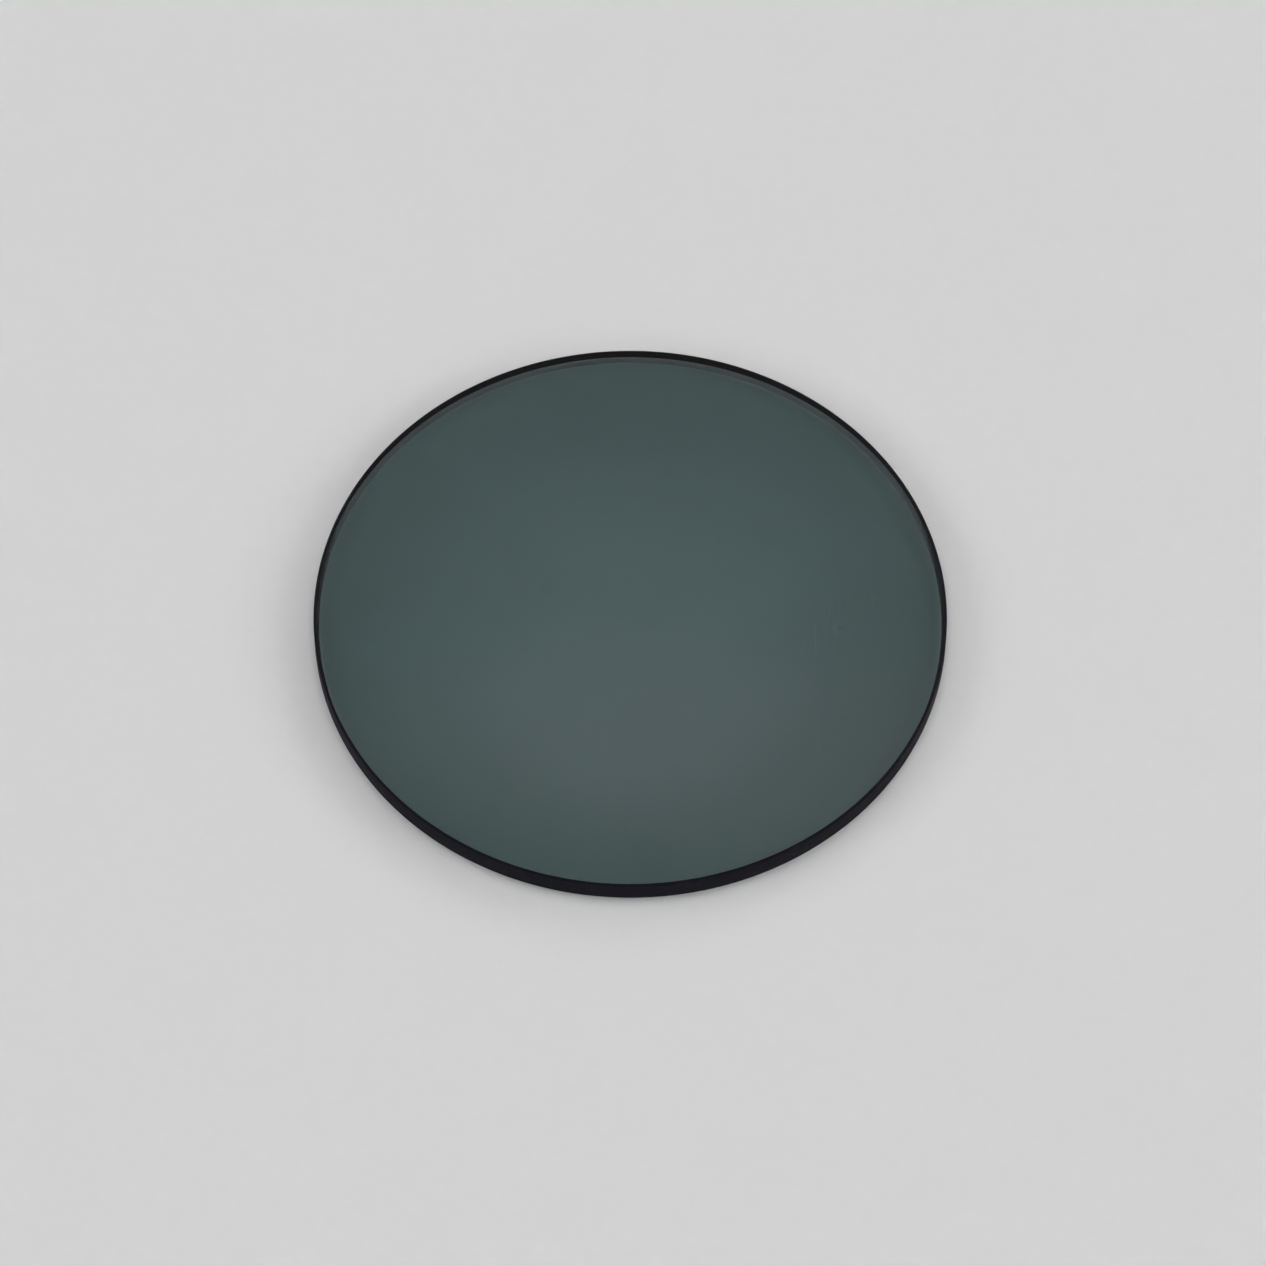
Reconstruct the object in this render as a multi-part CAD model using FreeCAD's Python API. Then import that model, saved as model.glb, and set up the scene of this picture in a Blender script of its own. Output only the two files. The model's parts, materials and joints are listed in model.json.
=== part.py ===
"""Round drop-in filter disc for a microscope's lamp path, one piece of smoked glass.

The disc is turned about +Z. The origin is the middle of its underside, the face
that it rests on, and +Z points up through the glass.
"""

import FreeCAD
import Part
import math
import os

# Driving dimensions, in millimetres and degrees
disc_diameter = 45.0  # across the ground rim, to suit the holder's recess
disc_thickness = 2.0  # from polished face to polished face
upper_bevel_width = 0.15  # from the rim inwards, at the upper face
lower_bevel_width = 0.35  # the same at the underside, where more is ground away
bevel_angle = 45.0  # between a bevel and the face that it breaks

# Sizes that follow from them
rim_radius = disc_diameter / 2
upper_face_radius = rim_radius - upper_bevel_width
lower_face_radius = rim_radius - lower_bevel_width
bevel_slope = math.tan(math.radians(bevel_angle))
rim_foot = lower_bevel_width * bevel_slope
rim_top = disc_thickness - upper_bevel_width * bevel_slope


def half_section():
    """Closed outline of one half of the disc's section, from its axis to its rim."""
    corners = [
        (0.0, 0.0),
        (lower_face_radius, 0.0),
        (rim_radius, rim_foot),
        (rim_radius, rim_top),
        (upper_face_radius, disc_thickness),
        (0.0, disc_thickness),
    ]
    points = [FreeCAD.Vector(radius, 0.0, height) for radius, height in corners]
    return Part.makePolygon(points + points[:1])


def filter_disc():
    """The half section swept once round the disc's axis."""
    axis_foot = FreeCAD.Vector(0.0, 0.0, 0.0)
    axis_up = FreeCAD.Vector(0.0, 0.0, 1.0)
    return Part.Face(half_section()).revolve(axis_foot, axis_up, 360.0)


os.makedirs("parts", exist_ok=True)
filter_disc().exportStep("parts/filter_disc.step")
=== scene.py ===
"""Looks of a drop-in microscope filter: a disc of smoked glass with a bevelled, blackened rim.

The file is laid out as a Blender add-on and is run as a script. Sizes are in metres
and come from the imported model; colours are linear.
"""

import json
import math

import bpy
import numpy as np
from bpy.props import FloatProperty, FloatVectorProperty, IntProperty, PointerProperty
from bpy.types import Operator, Panel, PropertyGroup
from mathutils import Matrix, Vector


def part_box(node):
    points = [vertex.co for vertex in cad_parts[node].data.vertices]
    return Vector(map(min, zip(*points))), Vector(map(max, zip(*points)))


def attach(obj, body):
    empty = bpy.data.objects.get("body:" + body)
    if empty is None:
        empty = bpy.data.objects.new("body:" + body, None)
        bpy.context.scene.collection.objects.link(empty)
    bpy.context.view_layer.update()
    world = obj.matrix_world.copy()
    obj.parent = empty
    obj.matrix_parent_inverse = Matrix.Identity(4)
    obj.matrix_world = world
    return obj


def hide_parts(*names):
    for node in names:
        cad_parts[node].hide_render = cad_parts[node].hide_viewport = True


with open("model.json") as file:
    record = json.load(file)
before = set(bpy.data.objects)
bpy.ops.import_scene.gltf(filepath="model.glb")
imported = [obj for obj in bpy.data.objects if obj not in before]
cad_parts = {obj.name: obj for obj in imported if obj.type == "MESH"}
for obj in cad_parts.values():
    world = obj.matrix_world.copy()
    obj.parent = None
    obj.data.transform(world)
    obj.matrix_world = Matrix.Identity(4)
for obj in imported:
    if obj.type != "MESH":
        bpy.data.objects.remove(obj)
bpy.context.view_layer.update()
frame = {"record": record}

bl_info = {
    "name": "Microscope filter disc",
    "version": (1, 0, 0),
    "blender": (4, 5, 0),
    "location": "3D View > Sidebar > Filter",
    "description": "Builds a smoked glass filter disc and the stage that it lies on",
    "category": "Object",
}

MM = 0.001

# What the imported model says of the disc
DISC_NODE = "filter_disc"
DISC_LOW, DISC_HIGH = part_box(DISC_NODE)
RIM = next(mount for mount in frame["record"]["mounts"] if mount["name"] == "rim")
RIM_RADIUS = RIM["dims"]["r_mm"] * MM
RIM_HEIGHT = RIM["dims"]["length_mm"] * MM
RIM_MIDDLE = RIM["pos_m"][2]
RIM_FOOT = RIM_MIDDLE - RIM_HEIGHT / 2
RIM_TOP = RIM_MIDDLE + RIM_HEIGHT / 2

# Outward normals of the section's sides, in degrees above the level, and order of the finishes on the mesh
SIDE_TURNS = (-90.0, -45.0, 0.0, 45.0, 90.0)
POLISHED, LACQUERED, GROUND = range(3)

# Grain and marks: scales are per metre, and a pair is where a mask begins and where it is full
PIT_SCALE = 12000.0
PIT_DETAIL = 2.0
MOTTLE_OVER_PITS = 0.12
MOTTLE_DETAIL = 3.0
MOTTLE_SPAN = (0.35, 0.75)
SMEAR_SCALE = 110.0
RIM_SMEAR_SCALE = 420.0
SMEAR_DETAIL = 4.0
SMEAR_DISTORTION = 0.6
SMEAR_SPAN = (0.42, 0.78)
SPECK_SCALE = 330.0
SPECK_REACH = (0.05, 0.02)
SPECK_CHANCE = (0.6, 1.0)
STRAND_SCALE = 2200.0
STRAND_TURN = (0.0, 0.0, 0.6)
STRAND_STRETCH = (1.0, 0.06, 1.0)
STRAND_MIDDLE = 0.5
SCRATCH_REACH = (0.016, 0.004)
RUBBED_SPAN = (0.58, 0.72)

# Finishes: a pair of roughnesses is for an empty and a full mask
GLASS_IOR = 1.52
GLASS_ROUGHNESS = (0.0, 0.05)
BEVEL_ROUGHNESS = (0.12, 0.18)
LACQUER_ROUGHNESS = (0.62, 0.45)
LACQUER_SPECULAR = 0.06
PIT_STRENGTH = 0.5
PIT_DEPTH = 0.015 * MM

# Floor: its half width, the gap under the disc and how far light spreads in it, then its surface
FLOOR_HALF = 3.0
FLOOR_GAP = 0.03 * MM
FLOOR_SPREAD = 1.6 * MM
CLOUD_SCALE = 900.0
CLOUD_DETAIL = 5.0
CLOUD_SHADE = 0.97
FLOOR_ROUGHNESS = 0.9
FLOOR_SPECULAR = 0.1

# Lamps: name, azimuth and elevation in degrees, width and height over the distance, share of the light
LAMP_DISTANCE = 2.5
SOFT_LAMPS = (
    ("right_softbox", -6.0, 27.0, 0.9, 0.50, 0.165),
    ("left_softbox", 184.0, 31.0, 0.9, 0.44, 0.145),
    ("back_softbox", 66.0, 28.0, 0.9, 0.40, 0.075),
    ("front_softbox", -90.0, 35.0, 0.9, 0.50, 0.06),
    ("overhead_softbox", -90.0, 90.0, 0.5, 0.5, 0.385),
)

# Glows: azimuth, elevation, half width and half height in degrees, and colour
GLOWS = (
    (90.0, 58.1, 2.7, 2.15, (0.28, 0.365, 0.37)),
    (90.0, 58.8, 1.6, 1.2, (0.09, 0.09, 0.09)),
    (88.2, 59.1, 4.0, 1.3, (0.15, 0.085, 0.08)),
)

# Sine of the elevation that the pale horizon reaches up to
HORIZON_REACH = 0.3

# Camera: the photograph's square frame and the rim in it, in pixels, and where its middle meets the disc
PHOTO_SIDE = 1265
PHOTO_RIM_RADIUS = 316.7
AIM_RIGHT = 0.16 * MM
AIM_NEARER = 1.28 * MM
CAMERA_AZIMUTH = -90.0

# No blur for light that reaches the floor through the polished glass
STRAIGHT_THROUGH = 0.0


# Settings

class DiscSizes(PropertyGroup):
    """Sizes of the glass disc."""

    rim_radius: FloatProperty(
        name="Rim radius", description="Radius of the straight rim", unit="LENGTH", default=RIM_RADIUS,
    )
    thickness: FloatProperty(
        name="Thickness", description="From polished face to polished face", unit="LENGTH",
        default=DISC_HIGH.z - DISC_LOW.z,
    )
    lower_bevel: FloatProperty(
        name="Lower bevel", description="Width and height of the bevel at the underside", unit="LENGTH",
        default=RIM_FOOT - DISC_LOW.z,
    )
    upper_bevel: FloatProperty(
        name="Upper bevel", description="Width and height of the bevel at the upper face", unit="LENGTH",
        default=DISC_HIGH.z - RIM_TOP,
    )
    arris_radius: FloatProperty(
        name="Arris radius", description="Rounding where a bevel meets the rim or a face", unit="LENGTH",
        default=0.03 * MM,
    )
    segments: IntProperty(name="Segments", description="Steps round the rim", default=480, min=24)
    arc_steps: IntProperty(
        name="Arc steps", description="Steps across one rounded arris", default=4, min=1,
    )


class DiscFinish(PropertyGroup):
    """Colours of the glass disc."""

    glass_tint: FloatVectorProperty(
        name="Glass tint", description="Share of light that one pass through the glass keeps",
        subtype="COLOR", default=(0.297, 0.367, 0.366),
    )
    smear_tint: FloatVectorProperty(
        name="Smear tint", description="The same where a polished face is smeared",
        subtype="COLOR", default=(0.288, 0.356, 0.355),
    )
    speck_tint: FloatVectorProperty(
        name="Speck tint", description="The same under a speck of dust",
        subtype="COLOR", default=(0.23, 0.285, 0.285),
    )
    scratch_tint: FloatVectorProperty(
        name="Scratch tint", description="The same along a hair scratch",
        subtype="COLOR", default=(0.35, 0.41, 0.41),
    )
    ground_tint: FloatVectorProperty(
        name="Ground bevel tint", description="Share of light that the stained lower bevel keeps",
        subtype="COLOR", default=(0.118, 0.125, 0.135),
    )
    lacquer_colour: FloatVectorProperty(
        name="Lacquer", description="Colour of the matt black on the rim",
        subtype="COLOR", default=(0.0076, 0.0066, 0.0105),
    )
    worn_colour: FloatVectorProperty(
        name="Worn lacquer", description="Colour where the lacquer is rubbed thin",
        subtype="COLOR", default=(0.013, 0.012, 0.0155),
    )


class StageSettings(PropertyGroup):
    """Floor, light and camera."""

    floor_colour: FloatVectorProperty(
        name="Floor", description="Colour of the pale floor", subtype="COLOR", default=(0.635, 0.635, 0.635),
    )
    ambient: FloatVectorProperty(
        name="Ambient", description="Even light from above and all round",
        subtype="COLOR", default=(0.19, 0.19, 0.19),
    )
    horizon: FloatVectorProperty(
        name="Horizon", description="Pale light at the horizon, where the floor ends",
        subtype="COLOR", default=(0.69, 0.69, 0.69),
    )
    glow: FloatProperty(
        name="Glow", description="Strength of the soft light that the upper face mirrors",
        default=1.0, min=0.0,
    )
    camera_elevation: FloatProperty(
        name="Camera elevation", description="Angle of sight above the level", subtype="ANGLE",
        default=math.radians(58.0),
    )
    camera_distance: FloatProperty(
        name="Camera distance", description="From the camera to the disc", unit="LENGTH", default=0.44,
    )


# Mesh

def rounded_profile(sizes):
    """Half section of the disc's edge as rows of radius and height, from the underside to the upper face.

    Each corner between two neighbouring sides is the arc that touches both. With n1 and n2 the sides'
    outward normals, the arc's centre is the corner less the arris radius times (n1 + n2) / (1 + n1 . n2),
    and the arc turns from n1 to n2 about it. The sides are the underside, the lower bevel, the rim, the
    upper bevel and the upper face, whose normals turn from straight down to straight up.
    """
    corners = np.array([
        (sizes.rim_radius - sizes.lower_bevel, 0.0),
        (sizes.rim_radius, sizes.lower_bevel),
        (sizes.rim_radius, sizes.thickness - sizes.upper_bevel),
        (sizes.rim_radius - sizes.upper_bevel, sizes.thickness),
    ])
    turns = np.radians(SIDE_TURNS)
    normals = np.stack([np.cos(turns), np.sin(turns)], axis=1)
    before, after = normals[:-1], normals[1:]
    lean = 1 + np.sum(before * after, axis=1, keepdims=True)
    centres = corners - sizes.arris_radius * (before + after) / lean
    steps = np.linspace(0.0, 1.0, sizes.arc_steps + 1)
    angles = turns[:-1, None] + (turns[1:] - turns[:-1])[:, None] * steps
    around = np.stack([np.cos(angles), np.sin(angles)], axis=2)
    arcs = centres[:, None, :] + sizes.arris_radius * around
    return arcs.reshape(-1, 2)


def turned_disc(sizes):
    """Vertices, faces and finishes of the half section turned once round the Z axis.

    A point of the section at radius r and height z goes to (r cos a, r sin a, z) for evenly spaced angles a.
    A vertex on the axis closes each polished face with a fan. The lowest arris and the lower bevel, which
    are the section's first spans, are ground, and the spans above them are lacquered.
    """
    section = rounded_profile(sizes)
    count = sizes.segments
    spans = np.arange(len(section) - 1)
    angle = np.linspace(0.0, 2 * np.pi, count, endpoint=False)
    radius, height = section[:, :1], section[:, 1:]
    rings = np.stack([radius * np.cos(angle), radius * np.sin(angle), height + 0 * angle], axis=2)
    poles = np.array([(0.0, 0.0, 0.0), (0.0, 0.0, sizes.thickness)])
    vertices = np.concatenate([rings.reshape(-1, 3), poles])
    here = np.arange(count)
    onward = (here + 1) % count
    foot = count * spans[:, None]
    head = foot + count
    quads = np.stack([foot + here, foot + onward, head + onward, head + here], axis=2)
    last_ring = count * len(spans)
    low_pole, high_pole = len(vertices) - 2, len(vertices) - 1
    underside = np.stack([np.full(count, low_pole), onward, here], axis=1)
    upper_face = np.stack([np.full(count, high_pole), last_ring + here, last_ring + onward], axis=1)
    faces = quads.reshape(-1, 4).tolist() + underside.tolist() + upper_face.tolist()
    edge_finishes = np.where(spans <= sizes.arc_steps, GROUND, LACQUERED)
    finishes = np.concatenate([np.repeat(edge_finishes, count), np.full(2 * count, POLISHED)])
    return vertices, faces, finishes


def disc_object(sizes):
    """The glass disc as an object at the origin, flat on its polished faces and smooth round its edge."""
    vertices, faces, finishes = turned_disc(sizes)
    mesh = bpy.data.meshes.new("filter_glass")
    mesh.from_pydata(vertices.tolist(), [], faces)
    mesh.polygons.foreach_set("material_index", finishes.astype(np.int32))
    mesh.polygons.foreach_set("use_smooth", finishes != POLISHED)
    mesh.update()
    disc = bpy.data.objects.new("filter_glass", mesh)
    bpy.context.scene.collection.objects.link(disc)
    return disc


# Shader nodes

def feed(tree, socket, value):
    """Links a socket to another that feeds it, or sets its plain value."""
    if isinstance(value, bpy.types.NodeSocket):
        tree.links.new(value, socket)
    else:
        socket.default_value = value


def add_node(tree, kind, inputs=None, **settings):
    """Adds a shader node, with its settings and its inputs' values or the sockets that feed them."""
    made = tree.nodes.new(kind)
    for name, value in settings.items():
        setattr(made, name, value)
    for name, value in (inputs or {}).items():
        feed(tree, made.inputs[name], value)
    return made


def add_math(tree, operation, first, second=0.0):
    """Result of one operation on one or two values or sockets."""
    return add_node(tree, "ShaderNodeMath", {0: first, 1: second}, operation=operation).outputs["Value"]


def add_range(tree, value, low, high, to_low=0.0, to_high=1.0):
    """Value eased from between low and high to between to_low and to_high."""
    inputs = {"Value": value, "From Min": low, "From Max": high, "To Min": to_low, "To Max": to_high}
    return add_node(tree, "ShaderNodeMapRange", inputs, interpolation_type="SMOOTHSTEP").outputs["Result"]


def add_noise(tree, vector, scale, **inputs):
    """Noise of a scale at a place, with the noise node's other inputs by their names."""
    inputs.update(Vector=vector, Scale=scale)
    return add_node(tree, "ShaderNodeTexNoise", inputs).outputs["Fac"]


def add_blend(tree, share, first, second, blend="MIX"):
    """Colour that goes from first to second, or has second added, as share goes from none to all."""
    mix = add_node(tree, "ShaderNodeMix", data_type="RGBA", blend_type=blend)
    for name, kind, value in (("Factor", "VALUE", share), ("A", "RGBA", first), ("B", "RGBA", second)):
        feed(tree, next(each for each in mix.inputs if each.name == name and each.type == kind), value)
    return next(each for each in mix.outputs if each.type == "RGBA")


def opaque(colour):
    """Colour with full alpha, as a colour socket takes it."""
    return (*colour, 1.0)


def new_group(name, scales, outputs):
    """Empty shader node group with a place, scales and number outputs, its given sockets and its end node."""
    group = bpy.data.node_groups.new(name, "ShaderNodeTree")
    group.interface.new_socket("Vector", in_out="INPUT", socket_type="NodeSocketVector")
    for label, scale in scales.items():
        socket = group.interface.new_socket(label, in_out="INPUT", socket_type="NodeSocketFloat")
        socket.default_value = scale
    for label in outputs:
        group.interface.new_socket(label, in_out="OUTPUT", socket_type="NodeSocketFloat")
    return group, add_node(group, "NodeGroupInput").outputs, add_node(group, "NodeGroupOutput")


def ground_grain_group():
    """Fine pits left by grinding, with a coarser mottle where the stone bit deeper."""
    group, given, end = new_group("Ground grain", {"Pit Scale": PIT_SCALE}, ("Height", "Mottle"))
    pits = add_noise(group, given["Vector"], given["Pit Scale"], Detail=PIT_DETAIL)
    coarse = add_math(group, "MULTIPLY", given["Pit Scale"], MOTTLE_OVER_PITS)
    mottle = add_noise(group, given["Vector"], coarse, Detail=MOTTLE_DETAIL)
    feed(group, end.inputs["Height"], pits)
    feed(group, end.inputs["Mottle"], add_range(group, mottle, *MOTTLE_SPAN))
    return group


def handling_group():
    """Faint smears from fingers and cloth, specks of dust, and hair scratches where the smears are thickest.

    A speck is the middle of a cell that chance picks. A scratch runs where a noise that is drawn out along
    one direction passes its middle value.
    """
    group, given, end = new_group(
        "Handling marks",
        {"Smear Scale": SMEAR_SCALE, "Speck Scale": SPECK_SCALE},
        ("Smear", "Specks", "Scratches"),
    )
    place = given["Vector"]
    smear = add_noise(group, place, given["Smear Scale"], Detail=SMEAR_DETAIL, Distortion=SMEAR_DISTORTION)
    cell_inputs = {"Vector": place, "Scale": given["Speck Scale"]}
    cells = add_node(group, "ShaderNodeTexVoronoi", cell_inputs, voronoi_dimensions="2D").outputs
    chance = add_node(group, "ShaderNodeSeparateColor", {"Color": cells["Color"]}).outputs["Red"]
    near = add_range(group, cells["Distance"], *SPECK_REACH)
    picked = add_range(group, chance, *SPECK_CHANCE)
    stretch = {"Vector": place, "Rotation": STRAND_TURN, "Scale": STRAND_STRETCH}
    drawn_out = add_node(group, "ShaderNodeMapping", stretch).outputs["Vector"]
    strands = add_noise(group, drawn_out, STRAND_SCALE)
    off_middle = add_math(group, "ABSOLUTE", add_math(group, "SUBTRACT", strands, STRAND_MIDDLE))
    scratched = add_range(group, off_middle, *SCRATCH_REACH)
    rubbed = add_range(group, smear, *RUBBED_SPAN)
    feed(group, end.inputs["Smear"], add_range(group, smear, *SMEAR_SPAN))
    feed(group, end.inputs["Specks"], add_math(group, "MULTIPLY", near, picked))
    feed(group, end.inputs["Scratches"], add_math(group, "MULTIPLY", scratched, rubbed))
    return group


def new_material(name):
    """Material with its node tree, its Principled shader's inputs and the object's own coordinates."""
    material = bpy.data.materials.new(name)
    material.use_nodes = True
    tree = material.node_tree
    coordinates = add_node(tree, "ShaderNodeTexCoord").outputs["Object"]
    return material, tree, tree.nodes["Principled BSDF"].inputs, coordinates


def use_group(tree, group, coordinates, **scales):
    """Outputs of a node group placed in a material, on the object's own coordinates."""
    placed = add_node(tree, "ShaderNodeGroup", node_tree=group)
    feed(tree, placed.inputs["Vector"], coordinates)
    for name, scale in scales.items():
        placed.inputs[name.replace("_", " ").title()].default_value = scale
    return placed.outputs


# Finishes

def smoked_glass(finish, handling):
    """Polished smoked glass, tinted evenly but for faint smears that dull it, specks and hair scratches."""
    material, tree, shader, coordinates = new_material("smoked_glass")
    marks = use_group(tree, handling, coordinates)
    tint = add_blend(tree, marks["Smear"], opaque(finish.glass_tint), opaque(finish.smear_tint))
    tint = add_blend(tree, marks["Specks"], tint, opaque(finish.speck_tint))
    tint = add_blend(tree, marks["Scratches"], tint, opaque(finish.scratch_tint))
    feed(tree, shader["Base Color"], tint)
    feed(tree, shader["Roughness"], add_range(tree, marks["Smear"], 0.0, 1.0, *GLASS_ROUGHNESS))
    shader["IOR"].default_value = GLASS_IOR
    shader["Transmission Weight"].default_value = 1.0
    return material


def ground_glass(finish, grain):
    """Stained ground glass of the lower bevel, which is seen through the disc."""
    material, tree, shader, coordinates = new_material("ground_bevel")
    pits = use_group(tree, grain, coordinates)
    feed(tree, shader["Roughness"], add_range(tree, pits["Mottle"], 0.0, 1.0, *BEVEL_ROUGHNESS))
    shader["Base Color"].default_value = opaque(finish.ground_tint)
    shader["IOR"].default_value = GLASS_IOR
    shader["Transmission Weight"].default_value = 1.0
    return material


def black_lacquer(finish, grain, handling):
    """Matt black lacquer over the ground rim, rubbed a little thin in places."""
    material, tree, shader, coordinates = new_material("rim_lacquer")
    pits = use_group(tree, grain, coordinates)
    marks = use_group(tree, handling, coordinates, smear_scale=RIM_SMEAR_SCALE)
    worn = add_math(tree, "MULTIPLY", pits["Mottle"], marks["Smear"])
    colour = add_blend(tree, worn, opaque(finish.lacquer_colour), opaque(finish.worn_colour))
    relief = {"Height": pits["Height"], "Strength": PIT_STRENGTH, "Distance": PIT_DEPTH}
    feed(tree, shader["Base Color"], colour)
    feed(tree, shader["Roughness"], add_range(tree, worn, 0.0, 1.0, *LACQUER_ROUGHNESS))
    feed(tree, shader["Normal"], add_node(tree, "ShaderNodeBump", relief).outputs["Normal"])
    shader["Specular IOR Level"].default_value = LACQUER_SPECULAR
    return material


def pale_floor(stage):
    """Pale matt floor with a faint cloudiness, in which light spreads a little way."""
    material, tree, shader, coordinates = new_material("pale_floor")
    clouds = add_noise(tree, coordinates, CLOUD_SCALE, Detail=CLOUD_DETAIL)
    shade = tuple(CLOUD_SHADE * part for part in stage.floor_colour)
    feed(tree, shader["Base Color"], add_blend(tree, clouds, opaque(shade), opaque(stage.floor_colour)))
    shader["Roughness"].default_value = FLOOR_ROUGHNESS
    shader["Specular IOR Level"].default_value = FLOOR_SPECULAR
    shader["Subsurface Weight"].default_value = 1.0
    shader["Subsurface Radius"].default_value = (1.0, 1.0, 1.0)
    shader["Subsurface Scale"].default_value = FLOOR_SPREAD
    # On a flat floor the quick way to spread light is as good as the slow one
    tree.nodes["Principled BSDF"].subsurface_method = "BURLEY"
    return material


# Stage

def lay_floor(stage):
    """Level square floor just under the disc."""
    corners = FLOOR_HALF * np.array([(-1.0, -1.0), (1.0, -1.0), (1.0, 1.0), (-1.0, 1.0)])
    vertices = np.column_stack([corners, np.full(len(corners), DISC_LOW.z - FLOOR_GAP)])
    mesh = bpy.data.meshes.new("pale_floor")
    mesh.from_pydata(vertices.tolist(), [], [(0, 1, 2, 3)])
    mesh.materials.append(pale_floor(stage))
    floor = bpy.data.objects.new("pale_floor", mesh)
    bpy.context.scene.collection.objects.link(floor)


def aim(thing, place, target):
    """Puts a lamp or camera at a place, looking at a target."""
    thing.location = place
    thing.rotation_euler = (target - place).to_track_quat("-Z", "Y").to_euler()


def direction(azimuth, elevation):
    """Unit vector towards an azimuth, counted from +X round to +Y, and an elevation, in degrees."""
    turn, rise = math.radians(azimuth), math.radians(elevation)
    return Vector((math.cos(rise) * math.cos(turn), math.cos(rise) * math.sin(turn), math.sin(rise)))


def hang_lamps():
    """Soft rectangular lamps, each with the power that puts its share of a plain unit of light on the floor.

    With a and b the half width and half height over the distance, the part of the view that the lamp fills
    is 2 / pi times (a / A atan(b / A) + b / B atan(a / B)), where A is the root of 1 + a squared and B that
    of 1 + b squared. The floor gets pi times that part times the radiance times the sine of the elevation.
    A unit of light is pi, and the power is pi times the area times the radiance.

    No lamp shows in a mirroring surface, so that none hides the tint of the glass.
    """
    for name, azimuth, elevation, width, height, share in SOFT_LAMPS:
        a, b = width / 2, height / 2
        slant_a, slant_b = math.hypot(1, a), math.hypot(1, b)
        sweep_a = a / slant_a * math.atan(b / slant_a)
        sweep_b = b / slant_b * math.atan(a / slant_b)
        filled = 2 / math.pi * (sweep_a + sweep_b)
        radiance = share / (filled * math.sin(math.radians(elevation)))
        light = bpy.data.lights.new(name, "AREA")
        light.shape = "RECTANGLE"
        light.size, light.size_y = width * LAMP_DISTANCE, height * LAMP_DISTANCE
        light.energy = math.pi * light.size * light.size_y * radiance
        lamp = bpy.data.objects.new(name, light)
        lamp.visible_glossy = False
        aim(lamp, LAMP_DISTANCE * direction(azimuth, elevation), Vector((0.0, 0.0, 0.0)))
        bpy.context.scene.collection.objects.link(lamp)


def add_glow(tree, towards, azimuth, elevation, half_width, half_height):
    """Share of a soft oval patch of light in the direction that a ray goes.

    The ray's parts along the patch's level and rising axes, over the sines of the half width and half
    height, are squared and added. The share eases from all to none as that sum goes from 0 to 1.
    """
    level = direction(azimuth - 90.0, 0.0) / math.sin(math.radians(half_width))
    rising = direction(azimuth + 180.0, 90.0 - elevation) / math.sin(math.radians(half_height))
    squares = []
    for axis in (level, rising):
        dot = add_node(tree, "ShaderNodeVectorMath", {0: towards, 1: axis}, operation="DOT_PRODUCT")
        squares.append(add_math(tree, "MULTIPLY", dot.outputs["Value"], dot.outputs["Value"]))
    return add_range(tree, add_math(tree, "ADD", *squares), 1.0, 0.0)


def light_world(stage):
    """Ambient light that grows pale towards the horizon, with soft glows that the upper face mirrors."""
    world = bpy.data.worlds.new("studio")
    bpy.context.scene.world = world
    world.use_nodes = True
    tree = world.node_tree
    towards = add_node(tree, "ShaderNodeTexCoord").outputs["Generated"]
    height = add_node(tree, "ShaderNodeSeparateXYZ", {"Vector": towards}).outputs["Z"]
    low = add_range(tree, add_math(tree, "ABSOLUTE", height), HORIZON_REACH, 0.0)
    colour = add_blend(tree, low, opaque(stage.ambient), opaque(stage.horizon))
    for *patch, tone in GLOWS:
        strength = [stage.glow * part for part in tone]
        colour = add_blend(tree, add_glow(tree, towards, *patch), colour, opaque(strength), "ADD")
    feed(tree, tree.nodes["Background"].inputs["Color"], colour)


def set_camera(stage):
    """Camera at the photograph's angle, with the rim as large and as placed as in its frame.

    The frame's width at the disc is the rim's radius times the frame's side over the rim's radius in it, both
    in pixels. The lens is the sensor's width times the camera's distance over that width.
    """
    frame_width = RIM_RADIUS * PHOTO_SIDE / PHOTO_RIM_RADIUS
    target = Vector((AIM_RIGHT, -AIM_NEARER, RIM_MIDDLE))
    data = bpy.data.cameras.new("camera")
    data.lens = data.sensor_width * stage.camera_distance / frame_width
    camera = bpy.data.objects.new("camera", data)
    way = direction(CAMERA_AZIMUTH, math.degrees(stage.camera_elevation))
    aim(camera, target + stage.camera_distance * way, target)
    bpy.context.scene.collection.objects.link(camera)
    bpy.context.scene.camera = camera


# Operators and panel

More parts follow.
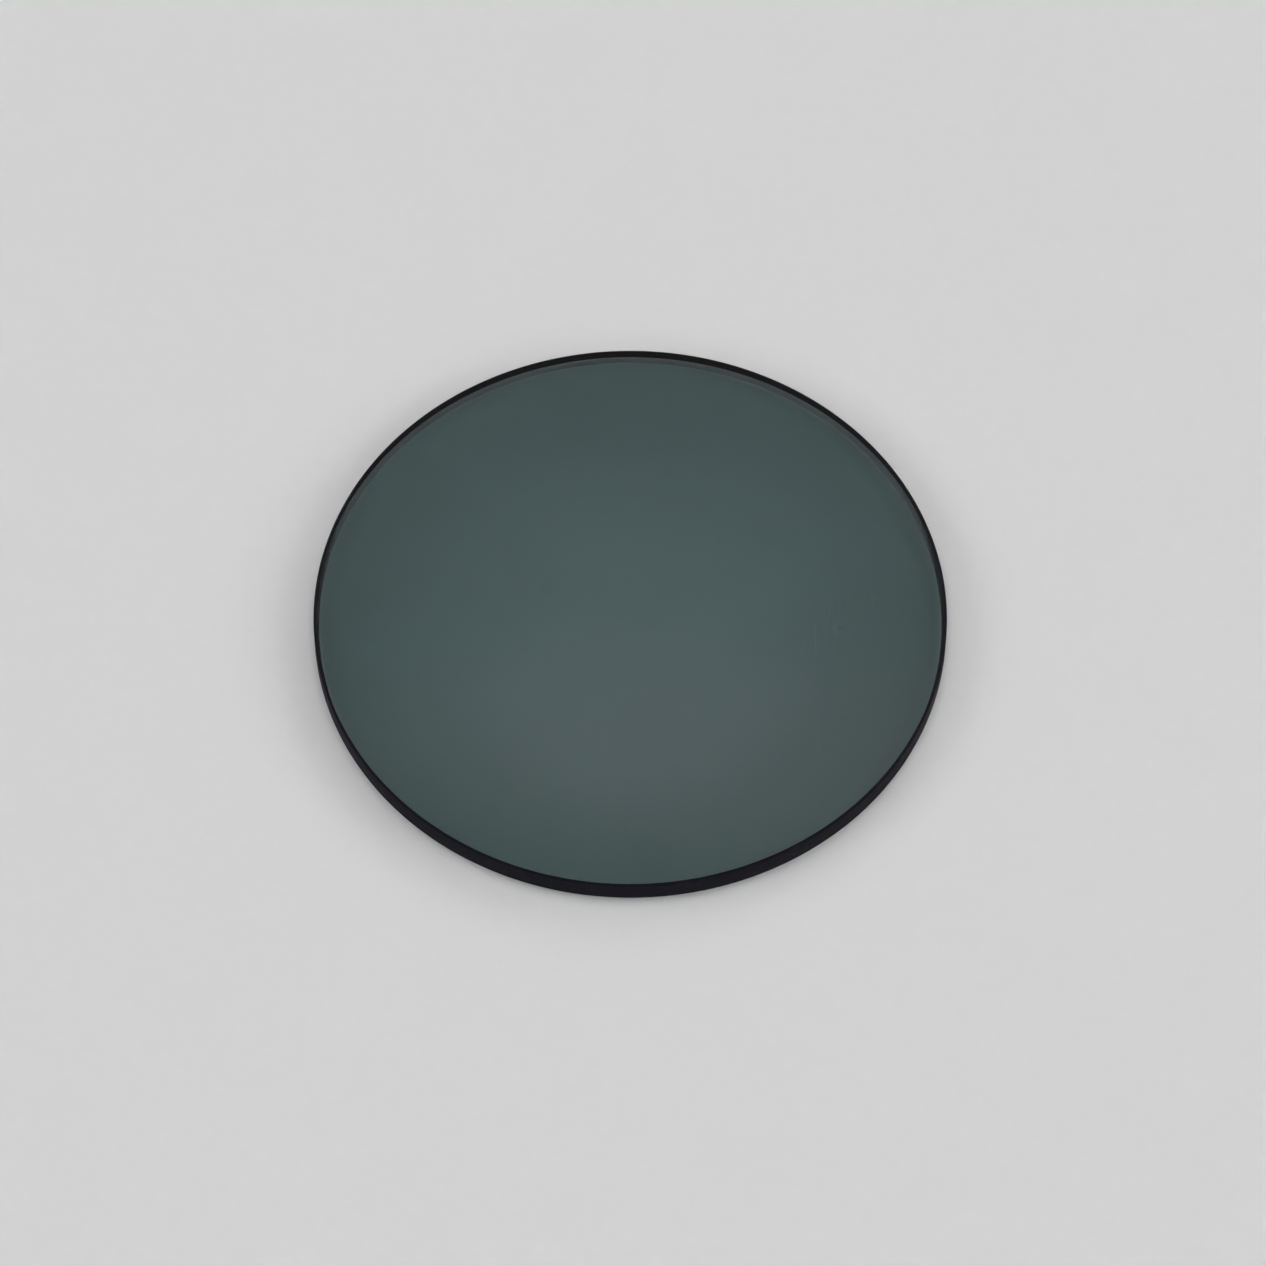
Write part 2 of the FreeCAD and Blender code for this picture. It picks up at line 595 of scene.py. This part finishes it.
class FILTER_OT_glass_disc(Operator):
    """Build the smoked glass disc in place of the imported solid"""

    bl_idname = "filter.glass_disc"
    bl_label = "Glass Disc"

    def execute(self, context):
        finish = context.scene.filter_finish
        grain, handling = ground_grain_group(), handling_group()
        disc = disc_object(context.scene.filter_sizes)
        finishes = {
            POLISHED: smoked_glass(finish, handling),
            LACQUERED: black_lacquer(finish, grain, handling),
            GROUND: ground_glass(finish, grain),
        }
        for index in sorted(finishes):
            disc.data.materials.append(finishes[index])
        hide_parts(DISC_NODE)
        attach(disc, "root")
        return {"FINISHED"}


class FILTER_OT_stage(Operator):
    """Lay the floor, hang the lamps and set the camera"""

    bl_idname = "filter.stage"
    bl_label = "Stage"

    def execute(self, context):
        stage = context.scene.filter_stage
        lay_floor(stage)
        hang_lamps()
        light_world(stage)
        set_camera(stage)
        context.scene.view_settings.view_transform = "Standard"
        context.scene.cycles.blur_glossy = STRAIGHT_THROUGH
        return {"FINISHED"}


class FILTER_PT_sidebar(Panel):
    """Sidebar panel with the disc's operators and settings"""

    bl_idname = "FILTER_PT_sidebar"
    bl_label = "Filter Disc"
    bl_space_type = "VIEW_3D"
    bl_region_type = "UI"
    bl_category = "Filter"

    def draw(self, context):
        layout = self.layout
        scene = context.scene
        for operator in (FILTER_OT_glass_disc, FILTER_OT_stage):
            layout.operator(operator.bl_idname)
        for settings in (scene.filter_sizes, scene.filter_finish, scene.filter_stage):
            box = layout.box()
            for name in settings.__annotations__:
                box.prop(settings, name)


CLASSES = (
    DiscSizes,
    DiscFinish,
    StageSettings,
    FILTER_OT_glass_disc,
    FILTER_OT_stage,
    FILTER_PT_sidebar,
)


def register():
    """Adds the classes and the scene's settings."""
    for each in CLASSES:
        bpy.utils.register_class(each)
    bpy.types.Scene.filter_sizes = PointerProperty(type=DiscSizes)
    bpy.types.Scene.filter_finish = PointerProperty(type=DiscFinish)
    bpy.types.Scene.filter_stage = PointerProperty(type=StageSettings)


def unregister():
    """Takes the scene's settings and the classes out again."""
    del bpy.types.Scene.filter_stage
    del bpy.types.Scene.filter_finish
    del bpy.types.Scene.filter_sizes
    for each in reversed(CLASSES):
        bpy.utils.unregister_class(each)


def main():
    """Builds the disc and its stage."""
    register()
    bpy.ops.filter.glass_disc()
    bpy.ops.filter.stage()


if __name__ == "__main__":
    main()
